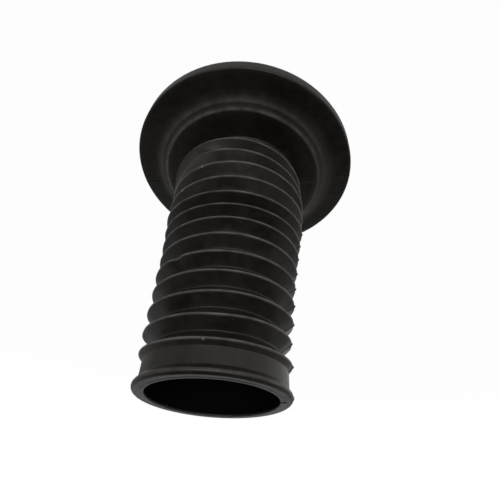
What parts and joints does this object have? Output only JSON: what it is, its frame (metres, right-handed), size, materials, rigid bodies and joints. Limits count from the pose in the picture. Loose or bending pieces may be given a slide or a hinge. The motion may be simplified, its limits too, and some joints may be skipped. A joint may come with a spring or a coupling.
{
  "type": "shock absorber dust boot",
  "caption": "Black rubber dust boot for a shock absorber: tapering bellows between a wide spring seat flange and a plain round collar with a beaded mouth.",
  "frame": {"origin": "centre of the flange's back face, on the boot's axis, at the bottom of the bounding box", "axes": "+Z along the moulded axis from the spring seat flange to the open collar; -Y is the side towards which the middle folds sag, and +X the side on which they stand higher"},
  "size_m": [0.15, 0.15, 0.1583],
  "materials": {
    "black_rubber": "satin"
  },
  "bodies": {
    "root": {"dust_boot": "black_rubber"}
  },
  "joints": []
}
